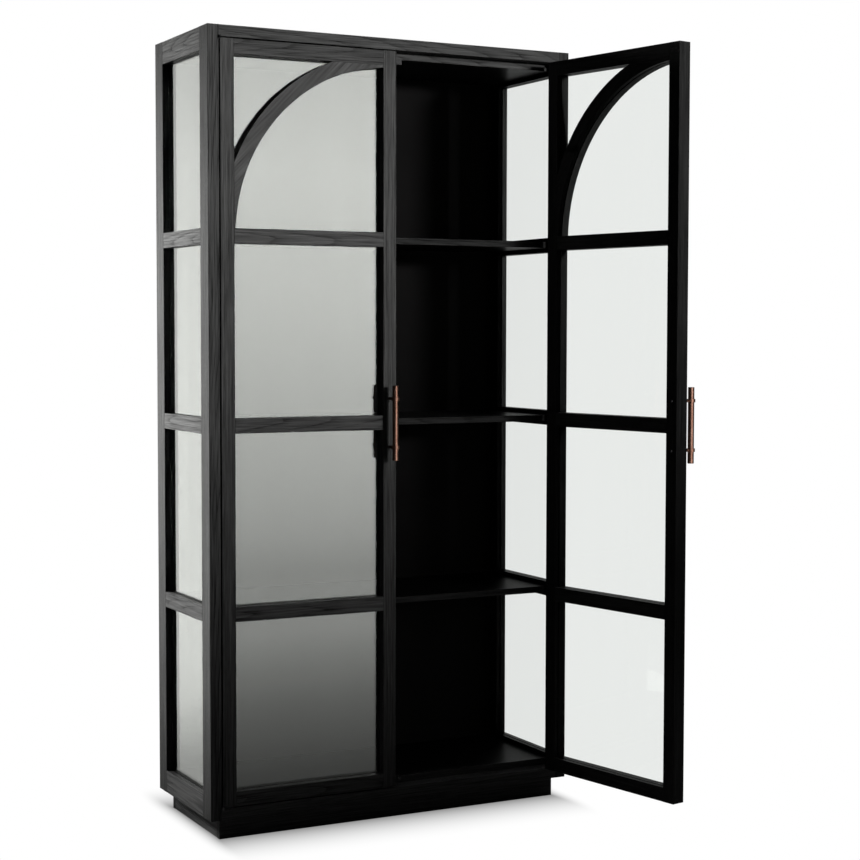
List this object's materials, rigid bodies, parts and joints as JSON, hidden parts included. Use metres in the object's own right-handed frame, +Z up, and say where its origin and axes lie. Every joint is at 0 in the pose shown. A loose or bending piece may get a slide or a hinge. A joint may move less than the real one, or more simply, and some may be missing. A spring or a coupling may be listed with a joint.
{
  "type": "tower display case",
  "caption": "Tall glazed display case with hinged doors, arched braces, fixed shelves and a recessed plinth.",
  "frame": {"origin": "on the floor, under the plinth stretcher, in the middle of the case's footprint", "axes": "+X to the case's right seen from the front, +Y from the front to the back, +Z up; the left door is shut and the right door stands open at rest"},
  "size_m": [1.2015, 0.9262, 2.15],
  "materials": {
    "stained_wood": "open-grained wood, stained black, satin",
    "black_panel": "veneered panel, stained black, satin",
    "clear_glass": "clear float glass, polished",
    "antique_copper": "antique copper plate, satin",
    "black_steel": "steel, coated black"
  },
  "bodies": {
    "cabinet": {"back_panel": "black_panel", "bottom_panel": "stained_wood", "left_door_bottom_case_leaf": "black_steel", "left_door_top_case_leaf": "black_steel", "left_side_bottom_rail": "stained_wood", "left_side_cross_rail_1": "stained_wood", "left_side_cross_rail_2": "stained_wood", "left_side_cross_rail_3": "stained_wood", "left_side_front_stile": "stained_wood", "left_side_glass": "clear_glass", "left_side_rear_stile": "stained_wood", "left_side_top_rail": "stained_wood", "magnetic_catch": "black_steel", "plinth_front": "stained_wood", "plinth_left": "stained_wood", "plinth_rear": "stained_wood", "plinth_right": "stained_wood", "plinth_stretcher": "stained_wood", "right_door_bottom_case_leaf": "black_steel", "right_door_top_case_leaf": "black_steel", "right_side_bottom_rail": "stained_wood", "right_side_cross_rail_1": "stained_wood", "right_side_cross_rail_2": "stained_wood", "right_side_cross_rail_3": "stained_wood", "right_side_front_stile": "stained_wood", "right_side_glass": "clear_glass", "right_side_rear_stile": "stained_wood", "right_side_top_rail": "stained_wood", "shelf_1": "stained_wood", "shelf_2": "stained_wood", "shelf_3": "stained_wood", "top_panel": "stained_wood"},
    "left_door": {"left_door_arch_brace": "stained_wood", "left_door_bottom_door_leaf": "black_steel", "left_door_bottom_rail": "stained_wood", "left_door_cross_rail_1": "stained_wood", "left_door_cross_rail_2": "stained_wood", "left_door_cross_rail_3": "stained_wood", "left_door_glass": "clear_glass", "left_door_handle_bar": "antique_copper", "left_door_handle_post_1": "antique_copper", "left_door_handle_post_2": "antique_copper", "left_door_hinge_stile": "stained_wood", "left_door_meeting_stile": "stained_wood", "left_door_top_door_leaf": "black_steel", "left_door_top_rail": "stained_wood"},
    "right_door": {"right_door_arch_brace": "stained_wood", "right_door_bottom_door_leaf": "black_steel", "right_door_bottom_rail": "stained_wood", "right_door_cross_rail_1": "stained_wood", "right_door_cross_rail_2": "stained_wood", "right_door_cross_rail_3": "stained_wood", "right_door_glass": "clear_glass", "right_door_handle_bar": "antique_copper", "right_door_handle_post_1": "antique_copper", "right_door_handle_post_2": "antique_copper", "right_door_hinge_stile": "stained_wood", "right_door_meeting_stile": "stained_wood", "right_door_top_door_leaf": "black_steel", "right_door_top_rail": "stained_wood"}
  },
  "joints": [
    {"name": "left_door_hinge", "type": "hinge", "parent": "cabinet", "child": "left_door", "pos_m": [-0.5151, -0.2088, 1.1], "axis": [0, 0, -1], "range_deg": [0, 110]},
    {"name": "right_door_hinge", "type": "hinge", "parent": "cabinet", "child": "right_door", "pos_m": [0.5151, -0.2088, 1.1], "axis": [0, 0, 1], "range_deg": [-101.1, 8.9]}
  ]
}
